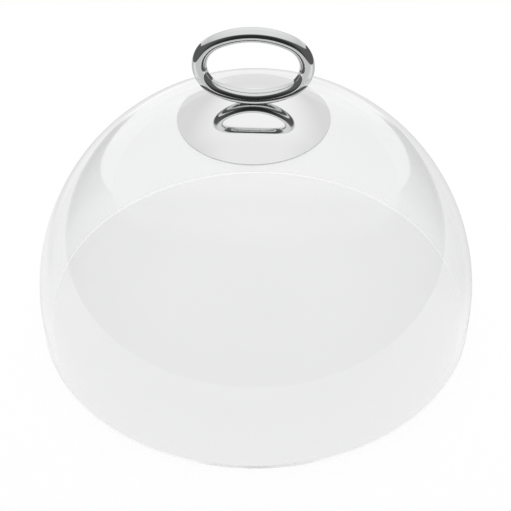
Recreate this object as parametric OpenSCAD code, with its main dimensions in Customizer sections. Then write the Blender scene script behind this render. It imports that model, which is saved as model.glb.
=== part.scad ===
// Clear buffet food cover: a dome with a straight rim band, a dished mirror-polished plate
// on its crown and an oval ring handle, all clamped together by one screw from inside.
// Sizes are in millimetres. The origin is the centre of the rim's underside, +Z is up,
// and the ring stands in the XZ plane.

/* [Dome] */
// Outside diameter of the dome
dome_d = 300; // [240:5:400]
// Thickness of the clear wall
wall_t = 4; // [3:0.5:6]
// Height of the straight band below the round of the dome
band_h = 16; // [8:1:40]
// Bevel on the two lower edges of the rim
rim_bevel = 0.1; // [0.1:0.1:1.4]

/* [Cover plate] */
// Diameter of the plate
plate_d = 96; // [70:1:110]
// Thickness of its pressed sheet
plate_t = 1; // [0.6:0.1:1.6]
// Radius of its dished top face, tighter than the dome so that only the edge bears
plate_crown_r = 108; // [90:1:125]

/* [Plate gasket] */
// Thickness of the soft ring at its outer edge
gasket_t = 0.5; // [0.3:0.1:1.5]
// Gap left where the soft ring beds on the dome and under the plate
bed_gap = 0.1; // [0.05:0.05:0.2]
// Width of the soft ring
gasket_w = 4; // [2:0.5:8]
// How far the soft ring stays inside the plate's edge
gasket_inset = 0.8; // [0.5:0.1:2]

/* [Ring handle] */
// Width of the ring over its bar
ring_w = 74.5; // [60:0.5:95]
// Height of the ring over its bar, before the seat is cut
ring_h = 53.6; // [44:0.1:66]
// Diameter of the round bar
bar_d = 9.2; // [8:0.1:12]
// How much smaller the bend at each end is than half the ring's height
end_tighter = 3.2; // [1:0.1:6]
// Depth of the seat that is cut into the foot to fit the plate
seat_depth = 0.6; // [0.5:0.1:1.5]

/* [Shoulder bush] */
// Diameter of the flange between dome and plate
bush_d = 16; // [12:1:30]
// Diameter of the spigot that lines the hole in the dome
spigot_d = 7; // [6:0.5:12]
// How far the spigot stops short of the dome's inner face
spigot_short = 0.4; // [0.2:0.1:1]
// Gap between the spigot and the wall of its hole
spigot_gap = 0.2; // [0.1:0.05:0.5]

/* [Seal and washers] */
// Diameter of the soft seal inside the dome
seal_d = 18; // [14:1:30]
// Thickness of the soft seal at its edge
seal_t = 1.2; // [0.8:0.1:3]
// Diameter of the flat washer
washer_d = 12; // [10:0.5:14]
// Thickness of the flat washer
washer_t = 1; // [0.8:0.1:2]
// Diameter of the split spring washer
lock_d = 7.6; // [6.5:0.1:9]
// Thickness of the split spring washer
lock_t = 0.9; // [0.7:0.1:1.4]
// Width of the slit in the spring washer
lock_slit = 1; // [0.6:0.1:2]

/* [Screw] */
// Diameter of the screw's thread
screw_d = 4; // [3:0.5:5]
// Length of thread that the ring's foot takes
thread_in = 5.5; // [4:0.5:6]
// Room past the screw's tip in the blind hole
tip_room = 0.8; // [0.4:0.1:1.2]
// Gap between the thread and the wall of the tapped hole
thread_gap = 0.1; // [0.05:0.05:0.2]
// Gap round the screw in the plate, the bush and the washers
screw_gap = 0.2; // [0.1:0.05:0.4]
// Diameter of the button head
head_d = 7.6; // [6.5:0.1:9]
// Height of the button head
head_h = 2.2; // [1.9:0.1:3]
// Height of the straight edge of the head
head_edge = 0.4; // [0.2:0.1:0.6]
// Width across the flats of the key socket
key_w = 2.5; // [2:0.5:3.5]
// Depth of the key socket
key_depth = 1.3; // [0.8:0.1:1.5]

/* [Hidden] */

$fn = 256;

// Height of a sphere's surface over its centre, at a distance from the axis
function over(sphere_r, at_r) = sqrt(sphere_r ^ 2 - at_r ^ 2);

dome_r = dome_d / 2;
inner_r = dome_r - wall_t;
dome_z = band_h;
spigot_hole_d = spigot_d + 2 * spigot_gap;
screw_hole_d = screw_d + 2 * screw_gap;

// The plate's edge bears on the gasket, which sets the height of everything above it
gasket_out_r = plate_d / 2 - gasket_inset;
under_r = plate_crown_r - plate_t;
edge_gap = gasket_t + 2 * bed_gap;
crown_z = dome_z + over(dome_r, gasket_out_r) + edge_gap - over(under_r, gasket_out_r);
plate_top = crown_z + plate_crown_r;

// The bar's centre line is an oval of four tangent arcs
oval_a = (ring_w - bar_d) / 2;
oval_b = (ring_h - bar_d) / 2;
end_r = oval_b - end_tighter;
long_r = (oval_a ^ 2 + oval_b ^ 2 - 2 * oval_a * end_r) / (2 * end_tighter);
long_half = atan2(oval_a - end_r, long_r - oval_b);
ring_z = plate_top - seat_depth + ring_h / 2;
// The end arcs are a hair thinner than the long ones and lap a little way into them
joint_step = 0.05;
joint_lap = 1.5;

// The screw's stack inside the dome, from the wall down to the head
seal_z = dome_z + over(inner_r, seal_d / 2) - seal_t;
washer_z = seal_z - washer_t;
lock_z = washer_z - lock_t;
tip_z = plate_top + thread_in;

// Half of a disc about a point on the axis, for sections that are spun about it
module half_disc(r, z) {
    translate([0, z]) intersection() {
        circle(r);
        translate([0, -r]) square([r, 2 * r]);
    }
}

// Strip of a half section between two distances from the axis, from a height upwards
module strip(from_r, to_r, z) {
    translate([from_r, z]) square([to_r - from_r, dome_d]);
}

// An upright cylinder on the axis between two heights
module post(d, from, to) {
    translate([0, 0, from]) cylinder(d = d, h = to - from);
}

// Half section of the dome's wall, with both edges of the rim bevelled
module wall_section() {
    intersection() {
        difference() {
            half_disc(dome_r, dome_z);
            half_disc(inner_r, dome_z);
        }
        strip(spigot_hole_d / 2, dome_r, dome_z);
    }
    polygon([[inner_r, band_h], [inner_r, rim_bevel], [inner_r + rim_bevel, 0],
             [dome_r - rim_bevel, 0], [dome_r, rim_bevel], [dome_r, band_h]]);
}

module dome_shell() {
    color([0.93, 0.95, 0.96, 0.3]) rotate_extrude() wall_section();
}

// Soft ring that fills the wedge between the dome and the plate's edge
module plate_gasket() {
    color([0.9, 0.9, 0.9, 0.6]) rotate_extrude() difference() {
        intersection() {
            half_disc(under_r - bed_gap, crown_z);
            strip(gasket_out_r - gasket_w, gasket_out_r, dome_z);
        }
        half_disc(dome_r + bed_gap, dome_z);
    }
}

// Dished sheet of even thickness, its edge trimmed upright
module cover_plate() {
    color([0.86, 0.87, 0.88]) rotate_extrude() intersection() {
        difference() {
            half_disc(plate_crown_r, crown_z);
            half_disc(under_r, crown_z);
        }
        strip(screw_hole_d / 2, plate_d / 2, crown_z);
    }
}

// One arc of round bar in the XZ plane, centred on a direction that is turned up from +X
module bar_arc(r, half, turn, d) {
    rotate([90, 0, 0]) rotate(turn - half)
        rotate_extrude(angle = 2 * half) translate([r, 0]) circle(d = d);
}

module oval_ring() {
    for (side = [0, 180]) {
        rotate([0, side, 0]) translate([oval_a - end_r, 0, 0])
            bar_arc(end_r, 90 - long_half + joint_lap, 0, bar_d - joint_step);
        rotate([0, side, 0]) translate([0, 0, oval_b - long_r])
            bar_arc(long_r, long_half, 90, bar_d);
    }
}

module ring_handle() {
    color([0.8, 0.81, 0.83]) difference() {
        translate([0, 0, ring_z]) oval_ring();
        rotate_extrude() half_disc(plate_crown_r, crown_z);
        post(screw_d + 2 * thread_gap, crown_z, tip_z + tip_room);
    }
}

// Half section of the flange, shaped to the dome and the plate, and of the spigot below it
module bush_section() {
    difference() {
        intersection() {
            half_disc(under_r, crown_z);
            strip(screw_hole_d / 2, bush_d / 2, dome_z);
        }
        half_disc(dome_r, dome_z);
    }
    spigot_z = dome_z + inner_r + spigot_short;
    translate([screw_hole_d / 2, spigot_z])
        square([(spigot_d - screw_hole_d) / 2, dome_z + dome_r - spigot_z]);
}

module shoulder_bush() {
    color([0.92, 0.92, 0.9]) rotate_extrude() bush_section();
}

// Soft disc, domed on top to fit the inside of the dome
module inner_seal() {
    color([0.88, 0.88, 0.86]) rotate_extrude() intersection() {
        half_disc(inner_r, dome_z);
        strip(screw_hole_d / 2, seal_d / 2, seal_z);
    }
}

module flat_washer() {
    color([0.75, 0.76, 0.78]) difference() {
        post(washer_d, washer_z, seal_z);
        post(screw_hole_d, dome_z, dome_z + dome_r);
    }
}

module spring_washer() {
    color([0.6, 0.61, 0.63]) difference() {
        post(lock_d, lock_z, washer_z);
        post(screw_hole_d, dome_z, dome_z + dome_r);
        translate([0, -lock_slit / 2, dome_z]) cube([dome_r, lock_slit, dome_r]);
    }
}

// Button head as a cap of a sphere on a short straight edge, with a hexagon key socket
module button_head() {
    cap_h = head_h - head_edge;
    cap_r = (cap_h ^ 2 + (head_d / 2) ^ 2) / (2 * cap_h);
    difference() {
        union() {
            post(head_d, lock_z - head_edge, lock_z);
            intersection() {
                translate([0, 0, lock_z - head_h + cap_r]) sphere(cap_r);
                post(head_d, lock_z - head_h, lock_z - head_edge);
            }
        }
        translate([0, 0, lock_z - head_h])
            linear_extrude(key_depth) circle(d = key_w / cos(30), $fn = 6);
    }
}

module handle_screw() {
    color([0.78, 0.79, 0.8]) union() {
        button_head();
        post(screw_d, lock_z, tip_z);
    }
}

dome_shell();
plate_gasket();
cover_plate();
ring_handle();
shoulder_bush();
inner_seal();
flat_washer();
spring_washer();
handle_screw();
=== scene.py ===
"""Clear buffet food cover, dressed for rendering.

Builds the clear dome, the dished plate, the oval ring handle and the small parts that clamp them together,
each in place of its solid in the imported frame, and then a pale studio with the camera at the photograph's
angle.
"""

import math

import bmesh
import bpy
from bpy.props import FloatProperty, FloatVectorProperty, IntProperty, PointerProperty
from bpy.types import Operator, Panel, PropertyGroup
from mathutils import Matrix, Vector


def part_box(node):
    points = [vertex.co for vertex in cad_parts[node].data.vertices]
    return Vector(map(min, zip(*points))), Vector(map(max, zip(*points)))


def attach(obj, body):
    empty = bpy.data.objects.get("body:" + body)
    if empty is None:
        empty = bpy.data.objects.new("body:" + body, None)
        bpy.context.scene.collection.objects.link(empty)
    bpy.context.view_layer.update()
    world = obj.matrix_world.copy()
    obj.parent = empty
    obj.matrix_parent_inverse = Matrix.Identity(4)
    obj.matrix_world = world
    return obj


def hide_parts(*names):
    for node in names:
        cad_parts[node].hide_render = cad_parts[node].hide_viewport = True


bl_info = {
    "name": "Buffet food cover",
    "version": (1, 0, 0),
    "blender": (4, 5, 0),
    "location": "3D View > Sidebar > Food cover",
    "description": "Builds a clear food cover with its polished plate, ring handle and clamping screw",
    "category": "Add Mesh",
}

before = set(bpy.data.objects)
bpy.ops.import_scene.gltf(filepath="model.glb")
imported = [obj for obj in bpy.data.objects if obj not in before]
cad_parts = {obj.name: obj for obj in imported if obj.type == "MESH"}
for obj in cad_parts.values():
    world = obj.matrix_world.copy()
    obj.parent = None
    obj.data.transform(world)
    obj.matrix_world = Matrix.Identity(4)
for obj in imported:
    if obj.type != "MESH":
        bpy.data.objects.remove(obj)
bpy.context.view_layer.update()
BODY = "root"
MM = 0.001
TAU = 2 * math.pi
QUARTER = math.pi / 2

# How finely the shapes are divided, along their sections and round the axis
DOME_STEPS = 88
PLATE_STEPS = 72
PLATE_EDGE_STEPS = 5
PLATE_SEGMENTS = 288
SOFT_RING_STEPS = 12
SOFT_RING_SEGMENTS = 256
BEND_STEPS = 72
FOOT_STEPS = 144
BAR_SIDES = 112
SEAT_STEPS = 48
SEAT_SEGMENTS = 192
CAP_STEPS = 16
CORNER_STEPS = 4
SMALL_SEGMENTS = 128
COIL_POINTS = 97
COIL_EDGE_POINTS = 3
HEAD_STEPS = 24
ROWS_PER_TURN = 8
SCREW_SEGMENTS = 96
DISC_SIDES = 128

# Points closer than this are merged, in a turned piece and after a cut
TURNED_MERGE = 0.001 * MM
CUT_MERGE = 0.0005 * MM
# Edges that turn more than this stay sharp
SHARP_EDGE = math.radians(32)
# Where a thread's flank starts and ends, as shares of half its pitch
THREAD_FLANK = (0.12, 0.85)


# Sizes and colours that a user may change

def length(name, description, default):
    """A length property in metres."""
    return FloatProperty(name=name, description=description, default=default, min=0, precision=5,
                         subtype="DISTANCE", unit="LENGTH")


def angle(name, description, degrees):
    """An angle property, given in degrees."""
    return FloatProperty(name=name, description=description, default=math.radians(degrees), subtype="ANGLE")


def share(name, description, default):
    """A number between 0 and 1."""
    return FloatProperty(name=name, description=description, default=default, min=0, max=1, subtype="FACTOR")


def tint(name, description, default):
    """A colour property."""
    return FloatVectorProperty(name=name, description=description, default=default, size=3, min=0, max=1,
                               subtype="COLOR")


def reach(node):
    """How far a node reaches from the axis."""
    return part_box(node)[1].x


def bottom(node):
    """Height of a node's lowest point."""
    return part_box(node)[0].z


def top(node):
    """Height of a node's highest point."""
    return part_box(node)[1].z


class DomeSizes(PropertyGroup):
    """The clear dome."""
    radius: length("Outer radius", "Radius of the dome's outside", reach("dome_shell"))
    wall: length("Wall", "Thickness of the clear wall", 4 * MM)
    band: length("Straight band", "Height of the straight band at the rim", 16 * MM)
    bevel: length("Rim bevel", "Bevel on the two edges of the rim", 0.1 * MM)
    hole: length("Crown hole", "Radius of the hole in the crown", 3.7 * MM)
    segments: IntProperty(name="Segments", description="Faces round the axis", default=360, min=32)


class PlateSizes(PropertyGroup):
    """The dished plate and the soft ring under its edge."""
    radius: length("Plate radius", "Radius of the plate", reach("cover_plate"))
    sheet: length("Sheet", "Thickness of the pressed sheet", 1 * MM)
    crown: length("Crown radius", "Radius of the dished top face", 108 * MM)
    hole: length("Screw hole", "Radius of the hole for the screw", 2.2 * MM)
    edge: length("Edge rounding", "Radius of the deburred edges", 0.18 * MM)
    ring_width: length("Soft ring", "Width of the soft ring under the edge", 4 * MM)
    bed_gap: length("Bed gap", "Gap where the soft ring beds on its neighbours", 0.1 * MM)


class RingSizes(PropertyGroup):
    """The oval ring handle."""
    half_width: length("Half width", "Half of the ring's width over its bar", reach("ring_handle"))
    height: length("Height", "Height over the bar before the seat is cut", 53.6 * MM)
    bar: length("Bar radius", "Radius of the round bar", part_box("ring_handle")[1].y)
    end_tighter: length("Tighter ends", "How much tighter each end bends than half the height", 3.2 * MM)
    tapped: length("Tapped hole", "Radius of the blind hole for the screw", 2.1 * MM)
    tip_room: length("Tip room", "Room past the screw's tip in the blind hole", 0.8 * MM)


class ClampSizes(PropertyGroup):
    """The screw, washers, seal and bush."""
    screw_hole: length("Screw clearance", "Radius of the hole round the screw", 2.2 * MM)
    spigot: length("Spigot", "Radius of the bush's spigot in the dome", 3.5 * MM)
    screw: length("Screw radius", "Radius over the thread", 2 * MM)
    pitch: length("Thread pitch", "Rise of the thread in one turn", 0.7 * MM)
    thread: length("Thread depth", "Depth of the thread", 0.4 * MM)
    head_edge: length("Head edge", "Height of the straight edge of the head", 0.4 * MM)
    key: length("Key socket", "Radius over the corners of the key socket", 1.443 * MM)
    key_depth: length("Key depth", "Depth of the key socket", 1.3 * MM)
    slit: length("Washer slit", "Width of the slit in the spring washer", 1 * MM)
    edge: length("Edge rounding", "Radius of the small parts' edges", 0.12 * MM)


class Finishes(PropertyGroup):
    """Colours of the materials."""
    acrylic: tint("Clear acrylic", "What the clear wall lets through", (0.985, 0.987, 0.988))
    plate: tint("Polished plate", "Mirror-polished steel", (0.87, 0.87, 0.873))
    chrome: tint("Chromed bar", "Chrome of the ring", (0.745, 0.75, 0.755))
    silicone: tint("Clear silicone", "Soft ring and seal", (0.9, 0.9, 0.89))
    nylon: tint("White nylon", "Bush between dome and plate", (0.78, 0.78, 0.75))
    steel: tint("Turned steel", "Screw and washers", (0.66, 0.67, 0.68))


class StageSizes(PropertyGroup):
    """The camera, the floor and the light round the object."""
    distance: length("Camera distance", "From the middle of the dome's round", 0.855)
    elevation: angle("Elevation", "Camera above the horizon", 43.7)
    turn: angle("Turn", "Camera turned about the object", 3)
    tilt: angle("Tilt", "Camera tilted up from the middle of the round", 1.32)
    roll: angle("Roll", "Camera rolled about its own axis", -0.7)
    lens: FloatProperty(name="Lens", description="Focal length in millimetres on a 36 mm sensor",
                        default=85.46)
    floor: length("Floor radius", "Radius of the pale table", 0.53)
    floor_colour: tint("Floor colour", "Pale table", (0.92, 0.92, 0.92))
    glow: share("Floor glow", "Share of the floor near the dome that shows as plain white", 0.95)
    through: share("Through glass", "Brightness of the floor and the studio through the clear wall", 0.9)
    # Painted shadow of the dome: through the clear wall the table under it is duller than outside, and duller
    # still near its rim
    under: share("Under the dome", "Brightness of the floor in the middle under the dome", 0.85)
    shade: share("Inner shade", "How much duller the floor is near the rim under the dome", 0.013)
    # Painted light: the table under the dome is brighter towards its back
    lift: share("Inner lift", "How much brighter the floor is at the back under the dome", 0.035)
    light_tilt: angle("Light tilt", "Height of the middle of the pale wall behind the object", 44.3)
    light_turn: angle("Light turn", "Turn of the middle of the pale wall from straight behind", -2.3)
    light_edge: angle("Light reach", "Half of the angle that the pale wall fills", 57.4)
    room: share("Room level", "Brightness of the dim room in front", 0.025)
    room_sides: share("Room sides", "Brightness of the room to the left and right", 0.12)
    room_top: share("Room top", "How much brighter the room grows towards its ceiling", 0.35)
    wall: share("Wall level", "Brightness of the pale wall behind the object to mirrors", 0.83)
    past: share("Past the wall", "Brightness of the room past the pale wall through glass", 0.66)
    panel: length("Panel radius", "Half width of the overhead panel that mirrors show", 0.8)
    panel_back: length("Panel back", "How far the panel's middle lies behind the object", 0.456)
    panel_height: length("Panel height", "Height of the overhead panel", 0.36)
    side_shade: share("Side shade", "How much the overhead panel falls off to both sides", 0.22)
    # Painted shade: to mirrors the table is duller at its back and front than in its middle
    back: share("Back of the table", "Brightness of the table's back to mirrors", 0.65)
    front: share("Front of the table", "Brightness of the table's front to mirrors", 0.7)
    drop: length("Table drop", "How far the table lies under the rim", 0.1 * MM)
    fill: share("Fill", "Even light on matt surfaces", 0.45)


class CoverSettings(PropertyGroup):
    """All settings of the cover."""
    dome: PointerProperty(type=DomeSizes)
    plate: PointerProperty(type=PlateSizes)
    ring: PointerProperty(type=RingSizes)
    clamp: PointerProperty(type=ClampSizes)
    finish: PointerProperty(type=Finishes)
    stage: PointerProperty(type=StageSizes)


# Node helpers

def add(tree, kind, wires=None, **settings):
    """Adds a node, sets its options, and wires or sets its inputs by name or number."""
    node = tree.nodes.new(kind)
    for key, value in settings.items():
        setattr(node, key, value)
    for key, value in (wires or {}).items():
        if isinstance(value, bpy.types.NodeSocket):
            tree.links.new(value, node.inputs[key])
        else:
            node.inputs[key].default_value = value
    return node


def calc(tree, operation, *values):
    """A Math node's result."""
    return add(tree, "ShaderNodeMath", dict(enumerate(values)), operation=operation).outputs[0]


def product(tree, first, *others):
    """Several values multiplied."""
    for value in others:
        first = calc(tree, "MULTIPLY", first, value)
    return first


def ramp(tree, value, low, high, start=0.0, end=1.0, smooth=False):
    """A value carried from one range to another, held at both ends."""
    wires = {"Value": value, "From Min": low, "From Max": high, "To Min": start, "To Max": end}
    kind = "SMOOTHSTEP" if smooth else "LINEAR"
    return add(tree, "ShaderNodeMapRange", wires, interpolation_type=kind).outputs[0]


def span(tree, value, bounds, start=0.0, end=1.0):
    """A smooth change from one level to another between two bounds."""
    return ramp(tree, value, *bounds, start, end, smooth=True)


def mix(tree, part, first, second):
    """A value between two others."""
    return add(tree, "ShaderNodeMix", {0: part, 2: first, 3: second}).outputs[0]


def vector_length(tree, vector):
    """The length of a vector."""
    return add(tree, "ShaderNodeVectorMath", {0: vector}, operation="LENGTH").outputs["Value"]


def new_tree(name, kind, inputs, outputs):
    """An empty node group with named sockets, its input node and its output node."""
    tree = bpy.data.node_groups.new(name, kind)
    for label, socket in inputs:
        tree.interface.new_socket(label, in_out="INPUT", socket_type="NodeSocket" + socket)
    for label, socket in outputs:
        tree.interface.new_socket(label, in_out="OUTPUT", socket_type="NodeSocket" + socket)
    return tree, tree.nodes.new("NodeGroupInput").outputs, tree.nodes.new("NodeGroupOutput")


def shape_tree(name, inputs):
    """An empty tree for a shape."""
    return new_tree(name, "GeometryNodeTree", inputs, [("Piece", "Geometry")])


def close_tree(tree, last, geometry, material):
    """Ends a shape's tree as plain mesh with its finish."""
    real = add(tree, "GeometryNodeRealizeInstances", {"Geometry": geometry}).outputs[0]
    done = add(tree, "GeometryNodeSetMaterial", {"Geometry": real, "Material": material}).outputs[0]
    tree.links.new(done, last.inputs[0])


# Shape trees

def turned_tree():
    """Spins the points of a half section, given in order as a mesh, about the Z axis."""
    inputs = [("Section", "Geometry"), ("Segments", "Int"), ("Finish", "Material")]
    tree, given, last = shape_tree("Turned piece", inputs)
    rows = add(tree, "GeometryNodeAttributeDomainSize", {0: given["Section"]}).outputs["Point Count"]
    columns = calc(tree, "ADD", given["Segments"], 1)
    grid = add(tree, "GeometryNodeMeshGrid", {"Vertices X": columns, "Vertices Y": rows}).outputs["Mesh"]
    index = add(tree, "GeometryNodeInputIndex").outputs[0]
    row = add(tree, "FunctionNodeIntegerMath", {0: index, 1: rows}, operation="MODULO").outputs[0]
    column = add(tree, "FunctionNodeIntegerMath", {0: index, 1: rows}, operation="DIVIDE_FLOOR").outputs[0]
    here = add(tree, "GeometryNodeInputPosition").outputs[0]
    point = add(tree, "GeometryNodeSampleIndex", data_type="FLOAT_VECTOR",
                wires={"Geometry": given["Section"], "Value": here, "Index": row}).outputs[0]
    turn = calc(tree, "MULTIPLY", calc(tree, "DIVIDE", column, given["Segments"]), TAU)
    spun = add(tree, "ShaderNodeVectorRotate", {"Vector": point, "Angle": turn},
               rotation_type="Z_AXIS").outputs[0]
    body = add(tree, "GeometryNodeSetPosition", {"Geometry": grid, "Position": spun}).outputs[0]
    shut = add(tree, "GeometryNodeMergeByDistance", {"Geometry": body, "Distance": TURNED_MERGE}).outputs[0]
    close_tree(tree, last, shut, given["Finish"])
    return tree


def bent_bar_tree():
    """Sweeps a round bar along a closed line, given as the edges of a mesh."""
    inputs = [("Line", "Geometry"), ("Radius", "Float"), ("Sides", "Int"), ("Finish", "Material")]
    tree, given, last = shape_tree("Bent bar", inputs)
    line = add(tree, "GeometryNodeMeshToCurve", {"Mesh": given["Line"]}).outputs[0]
    circle = add(tree, "GeometryNodeCurvePrimitiveCircle",
                 {"Resolution": given["Sides"], "Radius": given["Radius"]}).outputs[0]
    bar = add(tree, "GeometryNodeCurveToMesh", {"Curve": line, "Profile Curve": circle}).outputs[0]
    close_tree(tree, last, bar, given["Finish"])
    return tree


def split_washer_tree():
    """A flat coil of rectangular wire, open at a slit that faces +X."""
    inputs = [("Empty", "Geometry"), ("Radius", "Float"), ("Width", "Float"), ("Thickness", "Float"),
              ("Slit", "Float"), ("Edge", "Float"), ("Height", "Float"), ("Finish", "Material")]
    tree, given, last = shape_tree("Split washer", inputs)
    slit = calc(tree, "DIVIDE", given["Slit"], given["Radius"])
    start = calc(tree, "MULTIPLY", slit, 0.5)
    sweep = calc(tree, "SUBTRACT", TAU, slit)
    wires = {"Resolution": COIL_POINTS, "Radius": given["Radius"], "Start Angle": start, "Sweep Angle": sweep}
    line = add(tree, "GeometryNodeCurveArc", wires, mode="RADIUS").outputs["Curve"]
    wire = add(tree, "GeometryNodeCurvePrimitiveQuadrilateral",
               {"Width": given["Width"], "Height": given["Thickness"]}).outputs[0]
    wires = {"Curve": wire, "Count": COIL_EDGE_POINTS, "Radius": given["Edge"]}
    eased = add(tree, "GeometryNodeFilletCurve", wires, mode="POLY").outputs[0]
    wires = {"Curve": line, "Profile Curve": eased, "Fill Caps": True}
    coil = add(tree, "GeometryNodeCurveToMesh", wires).outputs[0]
    shift = add(tree, "ShaderNodeCombineXYZ", {"Z": given["Height"]}).outputs[0]
    lifted = add(tree, "GeometryNodeTransform", {"Geometry": coil, "Translation": shift}).outputs[0]
    close_tree(tree, last, lifted, given["Finish"])
    return tree


def thread_tree():
    """Cuts a screw thread into an upright round bar between two heights."""
    inputs = [("Bar", "Geometry"), ("Pitch", "Float"), ("Depth", "Float"), ("From", "Float"), ("To", "Float"),
              ("Finish", "Material")]
    tree, given, last = shape_tree("Screw thread", inputs)
    here = add(tree, "GeometryNodeInputPosition").outputs[0]
    x, y, z = add(tree, "ShaderNodeSeparateXYZ", {0: here}).outputs
    turn = calc(tree, "DIVIDE", calc(tree, "ARCTAN2", y, x), TAU)
    wave = calc(tree, "FRACT", calc(tree, "SUBTRACT", calc(tree, "DIVIDE", z, given["Pitch"]), turn))
    flank = calc(tree, "ABSOLUTE", calc(tree, "MULTIPLY_ADD", wave, 2.0, -1.0))
    groove = ramp(tree, flank, *THREAD_FLANK)
    runs_in = ramp(tree, z, given["From"], calc(tree, "ADD", given["From"], given["Pitch"]))
    runs_out = ramp(tree, z, calc(tree, "SUBTRACT", given["To"], given["Pitch"]), given["To"], 1.0, 0.0)
    cut = calc(tree, "MULTIPLY", calc(tree, "MULTIPLY", groove, given["Depth"]),
               calc(tree, "MULTIPLY", runs_in, runs_out))
    flat = add(tree, "ShaderNodeCombineXYZ", {0: x, 1: y}).outputs[0]
    part = calc(tree, "DIVIDE", cut, vector_length(tree, flat))
    inward = add(tree, "ShaderNodeVectorMath", {0: flat, "Scale": calc(tree, "MULTIPLY", part, -1.0)},
                 operation="SCALE").outputs[0]
    body = add(tree, "GeometryNodeSetPosition", {"Geometry": given["Bar"], "Offset": inward}).outputs[0]
    close_tree(tree, last, body, given["Finish"])
    return tree


def tree_named(name, make):
    """A tree that is built once and used again."""
    return bpy.data.node_groups.get(name) or make()


# Points of half sections, as distances from the axis and heights

def arc(across, height, radius, start, end, steps):
    """Points of an arc; angles run from straight up, outwards, in radians."""
    turns = [start + (end - start) * k / steps for k in range(steps + 1)]
    return [(across + radius * math.sin(a), height + radius * math.cos(a)) for a in turns]


def cap(height, radius, start, end, steps=CAP_STEPS):
    """Points of an arc about the axis, between two distances from it."""
    return arc(0, height, radius, math.asin(start / radius), math.asin(end / radius), steps)


def corner(across, height, radius, quarter):
    """Points of a rounded corner; quarters of a turn count from straight up, outwards."""
    return arc(across, height, radius, quarter * QUARTER, (quarter + 1) * QUARTER, CORNER_STEPS)


def eased_foot(inner, outer, low, ease):
    """Points of the two rounded corners at the bottom of a section."""
    return corner(outer - ease, low + ease, ease, 1) + corner(inner + ease, low + ease, ease, 2)


# Mesh helpers

def line_mesh(points, closed=True):
    """A mesh of points and the edges between them, in the XZ plane."""
    mesh = bpy.data.meshes.new("line")
    count = len(points)
    edges = [(k, (k + 1) % count) for k in range(count if closed else count - 1)]
    mesh.from_pydata([(x, 0, z) for x, z in points], edges, [])
    return mesh


def plain_mesh(holder):
    """The mesh of an object with its modifiers applied."""
    return bpy.data.meshes.new_from_object(holder.evaluated_get(bpy.context.evaluated_depsgraph_get()))


def shaped(base, tree, **values):
    """The plain mesh that a tree makes of a base mesh."""
    holder = bpy.data.objects.new("holder", base)
    bpy.context.scene.collection.objects.link(holder)
    modifier = holder.modifiers.new(tree.name, "NODES")
    modifier.node_group = tree
    for item in tree.interface.items_tree:
        if item.in_out == "INPUT" and item.name in values:
            modifier[item.identifier] = values[item.name]
    result = plain_mesh(holder)
    bpy.data.objects.remove(holder)
    bpy.data.meshes.remove(base)
    return result


def turned(points, material, segments=SMALL_SEGMENTS):
    """The mesh of a closed half section spun about the Z axis."""
    section = line_mesh(points + points[:1], closed=False)
    return shaped(section, tree_named("Turned piece", turned_tree), Segments=segments, Finish=material)


def hexagon_post(radius, low, high):
    """The mesh of an upright six-sided post."""
    count = 6
    turns = [k * TAU / count for k in range(count)]
    corners = [(radius * math.cos(a), radius * math.sin(a)) for a in turns]
    ends = [tuple(range(count - 1, -1, -1)), tuple(range(count, 2 * count))]
    sides = [(k, (k + 1) % count, count + (k + 1) % count, count + k) for k in range(count)]
    mesh = bpy.data.meshes.new("post")
    mesh.from_pydata([(x, y, z) for z in (low, high) for x, y in corners], [], ends + sides)
    return mesh


def cut_out(mesh, cutter):
    """A mesh with another one cut out of it."""
    block = bpy.data.objects.new("block", mesh)
    tool = bpy.data.objects.new("tool", cutter)
    for part in (block, tool):
        bpy.context.scene.collection.objects.link(part)
    modifier = block.modifiers.new("cut", "BOOLEAN")
    modifier.operation = "DIFFERENCE"
    modifier.solver = "EXACT"
    modifier.object = tool
    result = plain_mesh(block)
    merged = bmesh.new()
    merged.from_mesh(result)
    bmesh.ops.remove_doubles(merged, verts=merged.verts, dist=CUT_MERGE)
    merged.to_mesh(result)
    merged.free()
    for part in (block, tool):
        data = part.data
        bpy.data.objects.remove(part)
        bpy.data.meshes.remove(data)
    return result


def volume(mesh):
    """Signed volume, above zero where the faces point outwards."""
    mesh.calc_loop_triangles()
    spots = [v.co for v in mesh.vertices]
    triples = (t.vertices for t in mesh.loop_triangles)
    return sum(spots[a].dot(spots[b].cross(spots[c])) for a, b, c in triples) / 6


def place(name, mesh, node):
    """Puts a finished mesh into the scene in place of a CAD node."""
    if not mesh.polygons:
        raise RuntimeError(f"{name} came out empty")
    if volume(mesh) < 0:
        mesh.flip_normals()
    mesh.shade_smooth()
    mesh.set_sharp_from_angle(angle=SHARP_EDGE)
    mesh.name = name
    piece = bpy.data.objects.new(name, mesh)
    bpy.context.scene.collection.objects.link(piece)
    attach(piece, BODY)
    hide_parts(node)


# Shader groups and materials

# Bands of noise that show as smears and as scratches
SMEAR_BAND = (0.45, 0.72)
SCRATCH_BAND = (0.66, 0.74)
# How the three sets of scratches lie, how long they are drawn out, and how deep one is per unit of roughness
SCRATCH_TURNS = ((0.3, 0.9, 0.4), (1.2, 0.2, 2.1), (2.3, 1.4, 0.8))
SCRATCH_STRETCH = (0.02, 1.0, 1.0)
SCRATCH_DEPTH = 0.001 * MM
# Spacing and depth of turning marks, and the roughness that they add
TURNING_MARKS = (0.00012, 0.000006)
MARKS_ROUGHNESS = 0.15
# Height below which the rim's face counts as trimmed, and the roughness that is added there
TRIMMED_RIM = (0.05 * MM, 0.12)


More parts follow.
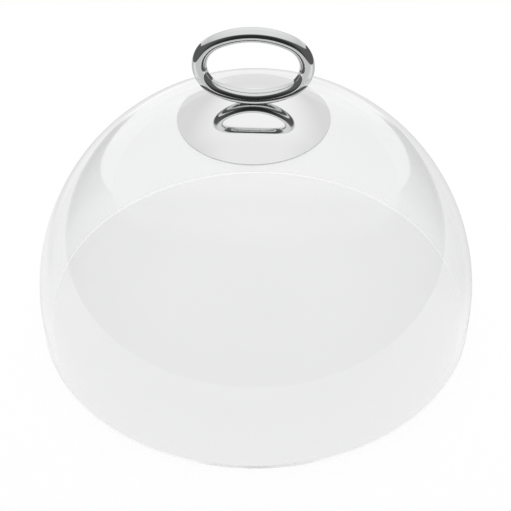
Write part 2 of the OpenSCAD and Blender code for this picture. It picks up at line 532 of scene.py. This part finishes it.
def handled_group():
    """Soft smears, fine scratches and a slow waviness, as on a clean part in daily use."""
    inputs = [("Colour", "Color"), ("Tone Change", "Float"), ("Roughness", "Float"), ("Smear", "Float"),
              ("Smear Size", "Float"), ("Scratch", "Float"), ("Scratch Size", "Float"),
              ("Wave Size", "Float"), ("Wave Height", "Float")]
    outputs = [("Colour", "Color"), ("Roughness", "Float"), ("Height", "Float")]
    tree, given, last = new_tree("Handled surface", "ShaderNodeTree", inputs, outputs)
    spot = add(tree, "ShaderNodeTexCoord").outputs["Object"]

    def noise(size, detail, vector=spot):
        wires = {"Vector": vector, "Scale": calc(tree, "DIVIDE", 1.0, size), "Detail": detail}
        return add(tree, "ShaderNodeTexNoise", wires).outputs["Fac"]

    smear = span(tree, noise(given["Smear Size"], 3.0), SMEAR_BAND)
    streaks = None
    for turn in SCRATCH_TURNS:
        wires = {"Vector": spot, "Rotation": turn, "Scale": SCRATCH_STRETCH}
        laid = add(tree, "ShaderNodeMapping", wires).outputs[0]
        line = ramp(tree, noise(given["Scratch Size"], 2.0, laid), *SCRATCH_BAND)
        streaks = line if streaks is None else calc(tree, "MAXIMUM", streaks, line)
    wave = noise(given["Wave Size"], 1.0)
    rough = calc(tree, "MULTIPLY_ADD", smear, given["Smear"], given["Roughness"])
    rough = calc(tree, "MULTIPLY_ADD", streaks, given["Scratch"], rough)
    tone = calc(tree, "MULTIPLY_ADD", calc(tree, "SUBTRACT", wave, 0.5), given["Tone Change"], 1.0)
    colour = add(tree, "ShaderNodeVectorMath", {0: given["Colour"], "Scale": tone},
                 operation="SCALE").outputs[0]
    lift = calc(tree, "MULTIPLY", wave, given["Wave Height"])
    groove = calc(tree, "MULTIPLY", streaks, calc(tree, "MULTIPLY", given["Scratch"], SCRATCH_DEPTH))
    height = calc(tree, "SUBTRACT", lift, groove)
    for key, socket in (("Colour", colour), ("Roughness", rough), ("Height", height)):
        tree.links.new(socket, last.inputs[key])
    return tree


def lathe_group():
    """Fine rings left by turning, about the Z axis."""
    inputs = [("Spacing", "Float"), ("Depth", "Float")]
    outputs = [("Rings", "Float"), ("Height", "Float")]
    tree, given, last = new_tree("Turning marks", "ShaderNodeTree", inputs, outputs)
    spot = add(tree, "ShaderNodeTexCoord").outputs["Object"]
    x, y, z = add(tree, "ShaderNodeSeparateXYZ", {0: spot}).outputs
    flat = add(tree, "ShaderNodeCombineXYZ", {0: x, 1: y}).outputs[0]
    along = calc(tree, "DIVIDE", calc(tree, "ADD", vector_length(tree, flat), z), given["Spacing"])
    rings = add(tree, "ShaderNodeTexNoise", {"W": along, "Scale": 1.0, "Detail": 2.0},
                noise_dimensions="1D").outputs["Fac"]
    tree.links.new(rings, last.inputs["Rings"])
    tree.links.new(calc(tree, "MULTIPLY", rings, given["Depth"]), last.inputs["Height"])
    return tree


def surface(name, plain, wear, colour=None, marks=None, trimmed=None):
    """A material of one Principled shader, worn by the shared groups.

    Plain values sit on the shader's own sockets. A turned surface gives its marks' spacing and depth, and a
    trimmed one the height below which it is matt, and how matt.
    """
    material = bpy.data.materials.get(name)
    if material:
        return material
    material = bpy.data.materials.new(name)
    material.use_nodes = True
    tree = material.node_tree
    shader = tree.nodes["Principled BSDF"]
    for key, value in plain.items():
        shader.inputs[key].default_value = value
    worn = add(tree, "ShaderNodeGroup", node_tree=tree_named("Handled surface", handled_group))
    for key, value in wear.items():
        worn.inputs[key].default_value = value
    rough = worn.outputs["Roughness"]
    height = worn.outputs["Height"]
    if colour is not None:
        worn.inputs["Colour"].default_value = (*colour, 1)
        tree.links.new(worn.outputs["Colour"], shader.inputs["Base Color"])
    if marks:
        rings = add(tree, "ShaderNodeGroup", node_tree=tree_named("Turning marks", lathe_group))
        for key, value in zip(("Spacing", "Depth"), marks):
            rings.inputs[key].default_value = value
        height = calc(tree, "ADD", height, rings.outputs["Height"])
        rough = calc(tree, "MULTIPLY_ADD", rings.outputs["Rings"], MARKS_ROUGHNESS, rough)
    if trimmed:
        below, matt = trimmed
        spot = add(tree, "ShaderNodeTexCoord").outputs["Object"]
        rise = add(tree, "ShaderNodeSeparateXYZ", {0: spot}).outputs["Z"]
        rough = calc(tree, "MULTIPLY_ADD", calc(tree, "LESS_THAN", rise, below), matt, rough)
    tree.links.new(rough, shader.inputs["Roughness"])
    bump = add(tree, "ShaderNodeBump", {"Strength": 1.0, "Distance": 1.0, "Height": height})
    tree.links.new(bump.outputs["Normal"], shader.inputs["Normal"])
    return material


def clear_acrylic(finish):
    plain = {"Base Color": (*finish.acrylic, 1), "Transmission Weight": 1.0, "IOR": 1.49}
    wear = {"Roughness": 0.0, "Smear": 0.012, "Smear Size": 0.06, "Scratch": 0.02, "Scratch Size": 0.0006,
            "Wave Size": 0.05, "Wave Height": 0.00001}
    return surface("acrylic_wall", plain, wear, trimmed=TRIMMED_RIM)


def polished_steel(finish):
    plain = {"Metallic": 1.0}
    wear = {"Tone Change": 0.03, "Roughness": 0.035, "Smear": 0.03, "Smear Size": 0.018, "Scratch": 0.06,
            "Scratch Size": 0.0004, "Wave Size": 0.03, "Wave Height": 0.00001}
    return surface("mirror_plate", plain, wear, colour=finish.plate)


def chromed_bar(finish):
    plain = {"Metallic": 1.0}
    wear = {"Tone Change": 0.03, "Roughness": 0.025, "Smear": 0.03, "Smear Size": 0.012, "Scratch": 0.05,
            "Scratch Size": 0.0003, "Wave Size": 0.02, "Wave Height": 0.000005}
    return surface("chrome_bar", plain, wear, colour=finish.chrome)


def clear_silicone(finish):
    plain = {"Transmission Weight": 0.15, "IOR": 1.41}
    wear = {"Tone Change": 0.06, "Roughness": 0.38, "Smear": 0.15, "Smear Size": 0.004, "Scratch": 0.1,
            "Scratch Size": 0.0005, "Wave Size": 0.003, "Wave Height": 0.00001}
    return surface("soft_silicone", plain, wear, colour=finish.silicone)


def white_nylon(finish):
    plain = {"IOR": 1.53, "Subsurface Weight": 0.1, "Subsurface Scale": 0.001}
    wear = {"Tone Change": 0.08, "Roughness": 0.42, "Smear": 0.12, "Smear Size": 0.003, "Scratch": 0.1,
            "Scratch Size": 0.0004, "Wave Size": 0.0012, "Wave Height": 0.00001}
    return surface("moulded_nylon", plain, wear, colour=finish.nylon)


def turned_steel(name, finish, rough, tone):
    plain = {"Metallic": 1.0}
    wear = {"Tone Change": 0.12, "Roughness": rough, "Smear": 0.12, "Smear Size": 0.002, "Scratch": 0.15,
            "Scratch Size": 0.0002, "Wave Size": 0.003, "Wave Height": 0.000003}
    colour = [tone * c for c in finish.steel]
    return surface(name, plain, wear, colour=colour, marks=TURNING_MARKS)


# Pieces

def crown_height(cover):
    """Height of the centre of the plate's dished top."""
    plate = cover.plate
    return top("cover_plate") - math.sqrt(plate.crown ** 2 - plate.hole ** 2)


class FOODCOVER_OT_dome(Operator):
    """Clear dome with a straight band, a bevelled rim and one hole in its crown"""
    bl_idname = "foodcover.dome"
    bl_label = "Clear dome"

    def execute(self, context):
        cover = context.scene.food_cover
        d = cover.dome
        inner = d.radius - d.wall
        points = cap(d.band, d.radius, d.hole, d.radius, DOME_STEPS)
        points += [(d.radius, d.bevel), (d.radius - d.bevel, 0), (inner + d.bevel, 0), (inner, d.bevel)]
        points += cap(d.band, inner, inner, d.hole, DOME_STEPS)
        mesh = turned(points, clear_acrylic(cover.finish), d.segments)
        place("clear_dome", mesh, "dome_shell")
        return {"FINISHED"}


class FOODCOVER_OT_plate(Operator):
    """Dished mirror plate, deburred at its edge"""
    bl_idname = "foodcover.plate"
    bl_label = "Polished plate"

    def execute(self, context):
        cover = context.scene.food_cover
        p = cover.plate
        centre = crown_height(cover)
        under = p.crown - p.sheet
        across = p.radius - p.edge
        rim = math.asin(across / p.crown)
        rim_under = math.asin(across / under)
        high = centre + p.crown * math.cos(rim) - p.edge
        low = centre + under * math.cos(rim_under) + p.edge
        points = cap(centre, p.crown, p.hole, across, PLATE_STEPS)[:-1]
        points += arc(across, high, p.edge, rim, QUARTER, PLATE_EDGE_STEPS)
        points += arc(across, low, p.edge, QUARTER, math.pi - rim_under, PLATE_EDGE_STEPS)
        points += cap(centre, under, across, p.hole, PLATE_STEPS)[1:]
        mesh = turned(points, polished_steel(cover.finish), PLATE_SEGMENTS)
        place("polished_plate", mesh, "cover_plate")
        return {"FINISHED"}


class FOODCOVER_OT_soft_rings(Operator):
    """Soft ring under the plate's edge, and the soft seal inside the dome"""
    bl_idname = "foodcover.soft_rings"
    bl_label = "Soft ring and seal"

    def execute(self, context):
        cover = context.scene.food_cover
        p = cover.plate
        d = cover.dome
        c = cover.clamp
        soft = clear_silicone(cover.finish)
        outer = reach("plate_gasket")
        inner = outer - p.ring_width
        points = cap(crown_height(cover), p.crown - p.sheet - p.bed_gap, inner, outer, SOFT_RING_STEPS)
        points += cap(d.band, d.radius + p.bed_gap, outer, inner, SOFT_RING_STEPS)
        ring = turned(points, soft, SOFT_RING_SEGMENTS)
        place("plate_soft_ring", ring, "plate_gasket")
        wide = reach("inner_seal")
        points = cap(d.band, d.radius - d.wall, c.screw_hole, wide)
        points += eased_foot(c.screw_hole, wide, bottom("inner_seal"), c.edge)
        place("inner_soft_seal", turned(points, soft), "inner_seal")
        return {"FINISHED"}


class FOODCOVER_OT_ring(Operator):
    """Oval ring of round bar, with a seat and a blind hole cut in its foot"""
    bl_idname = "foodcover.ring"
    bl_label = "Ring handle"

    def execute(self, context):
        cover = context.scene.food_cover
        r = cover.ring
        crown = cover.plate.crown
        centre = crown_height(cover)
        chrome = chromed_bar(cover.finish)
        middle = top("ring_handle") - r.height / 2
        a = r.half_width - r.bar
        b = r.height / 2 - r.bar
        end = b - r.end_tighter
        long = (a * a + b * b - 2 * a * end) / (2 * r.end_tighter)
        half = math.atan2(a - end, long - b)
        line = arc(0, middle + b - long, long, -half, half, BEND_STEPS)[:-1]
        line += arc(a - end, middle, end, half, math.pi - half, BEND_STEPS)[:-1]
        line += arc(0, middle - b + long, long, math.pi - half, math.pi + half, FOOT_STEPS)[:-1]
        line += arc(end - a, middle, end, math.pi + half, TAU - half, BEND_STEPS)[:-1]
        bent = tree_named("Bent bar", bent_bar_tree)
        bar = shaped(line_mesh(line), bent, Radius=r.bar, Sides=BAR_SIDES, Finish=chrome)
        seat_reach = 3 * r.bar
        seat_bottom = centre + crown - 2 * r.bar
        hole_top = top("handle_screw") + r.tip_room
        points = [(0, hole_top), (r.tapped, hole_top)]
        points += cap(centre, crown, r.tapped, seat_reach, SEAT_STEPS)
        points += [(seat_reach, seat_bottom), (0, seat_bottom)]
        ring = cut_out(bar, turned(points, chrome, SEAT_SEGMENTS))
        place("ring_bar", ring, "ring_handle")
        return {"FINISHED"}


class FOODCOVER_OT_bush(Operator):
    """Shouldered bush that fills the gap under the plate and lines the dome's hole"""
    bl_idname = "foodcover.bush"
    bl_label = "Shouldered bush"

    def execute(self, context):
        cover = context.scene.food_cover
        p = cover.plate
        d = cover.dome
        c = cover.clamp
        wide = reach("shoulder_bush")
        points = cap(crown_height(cover), p.crown - p.sheet, c.screw_hole, wide)
        points += cap(d.band, d.radius, wide, c.spigot)
        points += eased_foot(c.screw_hole, c.spigot, bottom("shoulder_bush"), c.edge)
        place("nylon_bush", turned(points, white_nylon(cover.finish)), "shoulder_bush")
        return {"FINISHED"}


class FOODCOVER_OT_washers(Operator):
    """Flat washer and split spring washer under the screw's head"""
    bl_idname = "foodcover.washers"
    bl_label = "Washers"

    def execute(self, context):
        cover = context.scene.food_cover
        c = cover.clamp
        high = top("flat_washer")
        wide = reach("flat_washer")
        points = corner(c.screw_hole + c.edge, high - c.edge, c.edge, -1)
        points += corner(wide - c.edge, high - c.edge, c.edge, 0)
        points += eased_foot(c.screw_hole, wide, bottom("flat_washer"), c.edge)
        flat = turned(points, turned_steel("turned_washer", cover.finish, rough=0.2, tone=1.15))
        place("flat_steel_washer", flat, "flat_washer")
        low = bottom("spring_washer")
        high = top("spring_washer")
        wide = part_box("spring_washer")[1].y
        spring = turned_steel("dark_spring", cover.finish, rough=0.3, tone=0.75)
        coil = shaped(bpy.data.meshes.new("empty"), tree_named("Split washer", split_washer_tree),
                      Radius=(wide + c.screw_hole) / 2, Width=wide - c.screw_hole, Thickness=high - low,
                      Slit=c.slit, Edge=c.edge, Height=(low + high) / 2, Finish=spring)
        place("split_spring_washer", coil, "spring_washer")
        return {"FINISHED"}


class FOODCOVER_OT_screw(Operator):
    """Button-head screw with a key socket and a cut thread"""
    bl_idname = "foodcover.screw"
    bl_label = "Button-head screw"

    def execute(self, context):
        cover = context.scene.food_cover
        c = cover.clamp
        steel = turned_steel("bright_screw", cover.finish, rough=0.18, tone=1.2)
        tip = top("handle_screw")
        low = bottom("handle_screw")
        seat = bottom("spring_washer")
        wide = reach("handle_screw")
        bow_height = seat - c.head_edge - low
        bow = (bow_height ** 2 + wide ** 2) / (2 * bow_height)
        shank = tip - c.thread
        rows = int((shank - seat) / (c.pitch / ROWS_PER_TURN))
        points = [(0, tip), (c.screw - c.thread, tip)]
        points += [(c.screw, shank + (seat - shank) * k / rows) for k in range(rows + 1)]
        points += [(wide, seat), (wide, seat - c.head_edge)]
        points += arc(0, low + bow, bow, math.pi - math.asin(wide / bow), math.pi, HEAD_STEPS)[1:]
        bar = turned(points, steel, SCREW_SEGMENTS)
        cut = shaped(bar, tree_named("Screw thread", thread_tree), Pitch=c.pitch, Depth=c.thread,
                     From=top("flat_washer"), To=tip + c.pitch / 2, Finish=steel)
        socket = hexagon_post(c.key, low - c.key_depth, low + c.key_depth)
        place("button_screw", cut_out(cut, socket), "handle_screw")
        return {"FINISHED"}


# Stage

# Where the table's tones change, in radii of the dome: its painted shadow and painted light under the dome,
# its painted light from the left, and how far its white glow reaches
TABLE_PAINTED_SHADOW = (0.4, 0.75)
TABLE_PAINTED_LIGHT_BACK = (0.68, 0.9)
TABLE_FAR = (1.5, 2.1)
TABLE_LIT_LEFT = (0.5, 1.1)
TABLE_ACROSS = (-1.0, 1.0)
TABLE_CLOSE = (1.4, 1.7)
TABLE_GLOW = (1.0, 3.2)
# Where they change along its depth to mirrors, in metres, and its brightness in the middle and to the left:
# painted shade at its back and front, painted light on its left
TABLE_SHADED_BACK = (-0.05, 0.05)
TABLE_SHADED_FRONT = (-0.12, -0.3)
TABLE_MIDDLE_LEVEL = 0.95
TABLE_LIT_LEFT_LEVEL = 0.85
# From the dome's outside to the middle of its rim
RIM_MIDDLE = 2 * MM

# The overhead panel's oval, where its tones change, in metres from its middle, and its brightness there
PANEL_OVAL = (1.0, 1.16, 1.0)
PANEL_SIDES = (0.05, 0.25)
PANEL_FRONT = (-0.44, -0.35)
PANEL_FRONT_LEVEL = 0.93
PANEL_BACK = (0.1, 0.3)
PANEL_BACK_LEVEL = 0.85
PANEL_LIP = (-0.6, -0.53)
PANEL_LIP_LEVEL = 0.06
# Share of the panel's radius at which it starts to fade
PANEL_FADE = 0.84

# Where the room's tones change, as parts of a direction of length 1: the dim room, two brighter patches low
# on the pale wall, the wall itself, and what shows through glass above it and past it
ROOM_SIDES = (0.15, 0.7)
ROOM_TOP_POWER = 3.0
PATCH_INNER = (0.12, 0.25)
PATCH_OUTER = (0.38, 0.48)
PATCH_TOP = (-0.02, 0.03)
WALL_SIDES = (0.4, 0.6)
WALL_TOP = (0.5, 0.85)
CLEAR_RISE = (0.0, 0.3)
PAST_BACK = (0.45, 0.6)
PAST_SIDES = (0.38, 0.55)
# How soft the pale wall's edge is, and the height and reach of the seam where it meets the table
WALL_SOFT = math.radians(0.4)
SEAM_TILT = math.radians(-10)
SEAM_OUTER = math.radians(25)
SEAM_INNER = math.radians(19)

# The overhead lamp, in metres, watts and radians
LAMP_SIZE = 0.9
LAMP_POWER = 9
LAMP_PLACE = (0, 0.25, 1.2)
LAMP_TURN = (-0.2, 0, 0)
# The camera's sensor, in millimetres, and how near and how far it sees, in metres
SENSOR_WIDTH = 36
NEAREST = 0.01
FARTHEST = 50
# How often light passes through clear walls, off mirrors and in all
GLASS_BOUNCES = 24
MIRROR_BOUNCES = 24
ALL_BOUNCES = 32


def stage_material(name):
    """A material with nothing but its output, and its tree."""
    material = bpy.data.materials.new(name)
    material.use_nodes = True
    tree = material.node_tree
    tree.nodes.remove(tree.nodes["Principled BSDF"])
    return material, tree


def show_mixed(tree, part, first, second):
    """Ends a material with a mix of two shaders."""
    both = add(tree, "ShaderNodeMixShader", {0: part, 1: first, 2: second}).outputs[0]
    tree.links.new(both, tree.nodes["Material Output"].inputs["Surface"])


def floor_material(s):
    """Pale table that takes a soft shadow: white to sight, a little duller through glass and to mirrors. Its
    tones through glass and to mirrors hold painted shade and painted light: the dome's painted shadow under
    it, painted light at the back under the dome and from the left, and painted shade at the table's back and
    front.
    """
    material, tree = stage_material("pale_table")
    rays = add(tree, "ShaderNodeLightPath").outputs
    mirror = calc(tree, "SUBTRACT", rays["Is Glossy Ray"], rays["Is Transmission Ray"])
    seen = calc(tree, "MAXIMUM", rays["Is Camera Ray"], rays["Is Glossy Ray"])
    spot = add(tree, "ShaderNodeTexCoord").outputs["Object"]
    across, ahead = add(tree, "ShaderNodeSeparateXYZ", {0: spot}).outputs[:2]
    off_axis = vector_length(tree, spot)
    wide = reach("dome_shell")

    def by_dome(value, bounds, start, end):
        return span(tree, value, [k * wide for k in bounds], start, end)

    # Painted shadow of the dome on the table under it, deepest near its rim
    under = by_dome(off_axis, TABLE_PAINTED_SHADOW, s.under, s.under - s.shade)
    # Painted light towards the back of the table under the dome
    under = calc(tree, "ADD", under, by_dome(ahead, TABLE_PAINTED_LIGHT_BACK, 0.0, s.lift))
    # Painted light from the left: through glass the table brightens to white far from the dome, except on its
    # right side
    far = by_dome(off_axis, TABLE_FAR, 0.0, 1.0 - s.through)
    left = by_dome(across, TABLE_LIT_LEFT, 1.0, 0.0)
    outside = calc(tree, "MULTIPLY_ADD", far, left, s.through)
    inside = calc(tree, "LESS_THAN", off_axis, wide - RIM_MIDDLE)
    to_glass = mix(tree, inside, outside, under)
    # Painted shade to mirrors at the table's back and front
    back = span(tree, ahead, TABLE_SHADED_BACK, TABLE_MIDDLE_LEVEL, s.back)
    front = span(tree, ahead, TABLE_SHADED_FRONT, 0.0, TABLE_MIDDLE_LEVEL - s.front)
    table = calc(tree, "SUBTRACT", back, front)
    # Painted light from the left: far from the dome, mirrors see the table brighter on its left than on its
    # right
    beside = by_dome(across, TABLE_ACROSS, TABLE_LIT_LEFT_LEVEL, s.back)
    close = by_dome(off_axis, TABLE_CLOSE, 1.0, 0.0)
    to_mirrors = mix(tree, close, table, calc(tree, "MAXIMUM", table, beside))
    dim = mix(tree, mirror, to_glass, to_mirrors)
    strength = mix(tree, rays["Is Camera Ray"], dim, 1.0)
    glow = by_dome(off_axis, TABLE_GLOW, s.glow, 1.0)
    matt = add(tree, "ShaderNodeBsdfDiffuse", {"Color": (*s.floor_colour, 1)}).outputs[0]
    white = add(tree, "ShaderNodeEmission", {"Strength": strength}).outputs[0]
    show_mixed(tree, calc(tree, "MULTIPLY", seen, glow), matt, white)
    return material


def panel_material(s):
    """Overhead soft light that mirrors show, a little duller towards its front, sides and back."""
    material, tree = stage_material("soft_panel")
    spot = add(tree, "ShaderNodeTexCoord").outputs["Object"]
    x, y = add(tree, "ShaderNodeSeparateXYZ", {0: spot}).outputs[:2]
    oval = add(tree, "ShaderNodeVectorMath", {0: spot, 1: PANEL_OVAL}, operation="MULTIPLY").outputs[0]
    sides = span(tree, calc(tree, "ABSOLUTE", x), PANEL_SIDES, 1.0, 1.0 - s.side_shade)
    front = span(tree, y, PANEL_FRONT, PANEL_FRONT_LEVEL, 1.0)
    back = span(tree, y, PANEL_BACK, 1.0, PANEL_BACK_LEVEL)
    level = calc(tree, "MULTIPLY", calc(tree, "MINIMUM", sides, back), front)
    level = calc(tree, "ADD", level, span(tree, y, PANEL_LIP, PANEL_LIP_LEVEL, 0.0))
    fade = span(tree, vector_length(tree, oval), (PANEL_FADE * s.panel, s.panel))
    lit = add(tree, "ShaderNodeEmission", {"Strength": level}).outputs[0]
    clear = add(tree, "ShaderNodeBsdfTransparent").outputs[0]
    show_mixed(tree, fade, lit, clear)
    return material


def studio_world(s):
    """White behind the object for sight; a pale wall behind it, and a dim room in front, for mirrors."""
    world = bpy.data.worlds.new("pale_studio")
    world.use_nodes = True
    tree = world.node_tree
    rays = add(tree, "ShaderNodeLightPath").outputs
    way = add(tree, "ShaderNodeTexCoord").outputs["Generated"]
    x, y, rise = add(tree, "ShaderNodeSeparateXYZ", {0: way}).outputs
    aside = calc(tree, "ABSOLUTE", x)

    def near(tilt, outer, inner):
        flat = math.cos(tilt)
        aim = (math.sin(s.light_turn) * flat, math.cos(s.light_turn) * flat, math.sin(tilt))
        dot = add(tree, "ShaderNodeVectorMath", {0: way, 1: aim}, operation="DOT_PRODUCT").outputs["Value"]
        return span(tree, dot, (math.cos(outer), math.cos(inner)))

    room = span(tree, aside, ROOM_SIDES, s.room, s.room_sides)
    ceiling = calc(tree, "POWER", calc(tree, "MAXIMUM", rise, 0.0), ROOM_TOP_POWER)
    room = calc(tree, "MULTIPLY_ADD", ceiling, s.room_top, room)
    patches = product(tree, span(tree, aside, PATCH_INNER), span(tree, aside, PATCH_OUTER, 1.0, 0.0),
                      span(tree, rise, PATCH_TOP, 1.0, 0.0))
    bright = calc(tree, "MAXIMUM", patches, span(tree, aside, WALL_SIDES))
    tone = ramp(tree, bright, 0.0, 1.0, s.wall, 1.0)
    behind = near(s.light_tilt, s.light_edge + WALL_SOFT, s.light_edge - WALL_SOFT)
    wall = product(tree, behind, tone, span(tree, rise, WALL_TOP, 1.0, 0.0))
    seam = product(tree, near(SEAM_TILT, SEAM_OUTER, SEAM_INNER), tone)
    to_mirrors = calc(tree, "MAXIMUM", room, calc(tree, "MAXIMUM", wall, seam))
    past = product(tree, calc(tree, "SUBTRACT", 1.0, behind), span(tree, y, PAST_BACK),
                   span(tree, aside, PAST_SIDES))
    to_glass = product(tree, span(tree, rise, CLEAR_RISE, s.through, 1.0),
                       ramp(tree, past, 0.0, 1.0, 1.0, s.past))
    shown = mix(tree, rays["Is Transmission Ray"], to_mirrors, to_glass)
    seen = mix(tree, rays["Is Camera Ray"], shown, 1.0)
    level = mix(tree, rays["Is Diffuse Ray"], seen, s.fill)
    tree.links.new(level, tree.nodes["Background"].inputs["Color"])
    return world


def disc(name, radius, centre, material):
    """A flat round piece of the studio."""
    turns = [k * TAU / DISC_SIDES for k in range(DISC_SIDES)]
    mesh = bpy.data.meshes.new(name)
    mesh.from_pydata([(radius * math.cos(a), radius * math.sin(a), 0) for a in turns], [],
                     [tuple(range(DISC_SIDES))])
    mesh.materials.append(material)
    piece = bpy.data.objects.new(name, mesh)
    piece.location = centre
    bpy.context.scene.collection.objects.link(piece)
    return piece


def soft_lamp(scene):
    """A wide lamp over the object, which mirrors and glass don't show."""
    data = bpy.data.lights.new("overhead_soft_light", "AREA")
    data.shape = "DISK"
    data.size = LAMP_SIZE
    data.energy = LAMP_POWER
    lamp = bpy.data.objects.new("overhead_soft_light", data)
    lamp.location = LAMP_PLACE
    lamp.rotation_euler = LAMP_TURN
    lamp.visible_glossy = False
    lamp.visible_transmission = False
    scene.collection.objects.link(lamp)


def photo_camera(scene, s, aim):
    """The camera at the photograph's angle, tilted and rolled a little from its aim."""
    flat = math.cos(s.elevation)
    back = Vector((math.sin(s.turn) * flat, -math.cos(s.turn) * flat, math.sin(s.elevation)))
    right = back.cross(Vector((0, 0, -1))).normalized()
    up = back.cross(right)
    tilted_back = back * math.cos(s.tilt) - up * math.sin(s.tilt)
    tilted_up = up * math.cos(s.tilt) + back * math.sin(s.tilt)
    rolled_right = right * math.cos(s.roll) + tilted_up * math.sin(s.roll)
    rolled_up = tilted_up * math.cos(s.roll) - right * math.sin(s.roll)
    data = bpy.data.cameras.new("photo_camera")
    data.sensor_width = SENSOR_WIDTH
    data.lens = s.lens
    data.clip_start = NEAREST
    data.clip_end = FARTHEST
    camera = bpy.data.objects.new("photo_camera", data)
    axes = Matrix((rolled_right, rolled_up, tilted_back)).transposed().to_4x4()
    camera.matrix_world = Matrix.Translation(aim + s.distance * back) @ axes
    scene.collection.objects.link(camera)
    scene.camera = camera


class FOODCOVER_OT_stage(Operator):
    """Pale table, soft studio light and the camera at the photograph's angle"""
    bl_idname = "foodcover.stage"
    bl_label = "Stage"

    def execute(self, context):
        scene = context.scene
        cover = scene.food_cover
        s = cover.stage
        scene.view_settings.view_transform = "Standard"
        disc("table", s.floor, (0, 0, -s.drop), floor_material(s))
        panel = disc("soft_panel", s.panel, (0, s.panel_back, s.panel_height), panel_material(s))
        panel.visible_camera = False
        panel.visible_diffuse = False
        panel.visible_transmission = False
        panel.visible_shadow = False
        scene.world = studio_world(s)
        soft_lamp(scene)
        scene.cycles.transmission_bounces = GLASS_BOUNCES
        scene.cycles.glossy_bounces = MIRROR_BOUNCES
        scene.cycles.max_bounces = ALL_BOUNCES
        scene.cycles.blur_glossy = 0.0
        photo_camera(scene, s, Vector((0, 0, cover.dome.band)))
        return {"FINISHED"}


BUILDERS = (FOODCOVER_OT_dome, FOODCOVER_OT_plate, FOODCOVER_OT_soft_rings, FOODCOVER_OT_ring,
            FOODCOVER_OT_bush, FOODCOVER_OT_washers, FOODCOVER_OT_screw, FOODCOVER_OT_stage)


class FOODCOVER_PT_panel(Panel):
    """Lists the pieces of the food cover and their sizes"""
    bl_idname = "FOODCOVER_PT_panel"
    bl_label = "Food cover"
    bl_space_type = "VIEW_3D"
    bl_region_type = "UI"
    bl_category = "Food cover"

    def draw(self, context):
        cover = context.scene.food_cover
        for builder in BUILDERS:
            self.layout.operator(builder.bl_idname)
        for group in (cover.dome, cover.plate, cover.ring, cover.clamp, cover.finish, cover.stage):
            box = self.layout.box()
            for key in group.__annotations__:
                box.prop(group, key)


CLASSES = (DomeSizes, PlateSizes, RingSizes, ClampSizes, Finishes, StageSizes, CoverSettings, *BUILDERS,
           FOODCOVER_PT_panel)


def register():
    for item in CLASSES:
        bpy.utils.register_class(item)
    bpy.types.Scene.food_cover = PointerProperty(type=CoverSettings)


def unregister():
    del bpy.types.Scene.food_cover
    for item in reversed(CLASSES):
        bpy.utils.unregister_class(item)


def main():
    register()
    bpy.ops.foodcover.stage()
    bpy.ops.foodcover.dome()
    bpy.ops.foodcover.plate()
    bpy.ops.foodcover.soft_rings()
    bpy.ops.foodcover.ring()
    bpy.ops.foodcover.bush()
    bpy.ops.foodcover.washers()
    bpy.ops.foodcover.screw()


if __name__ == "__main__":
    main()
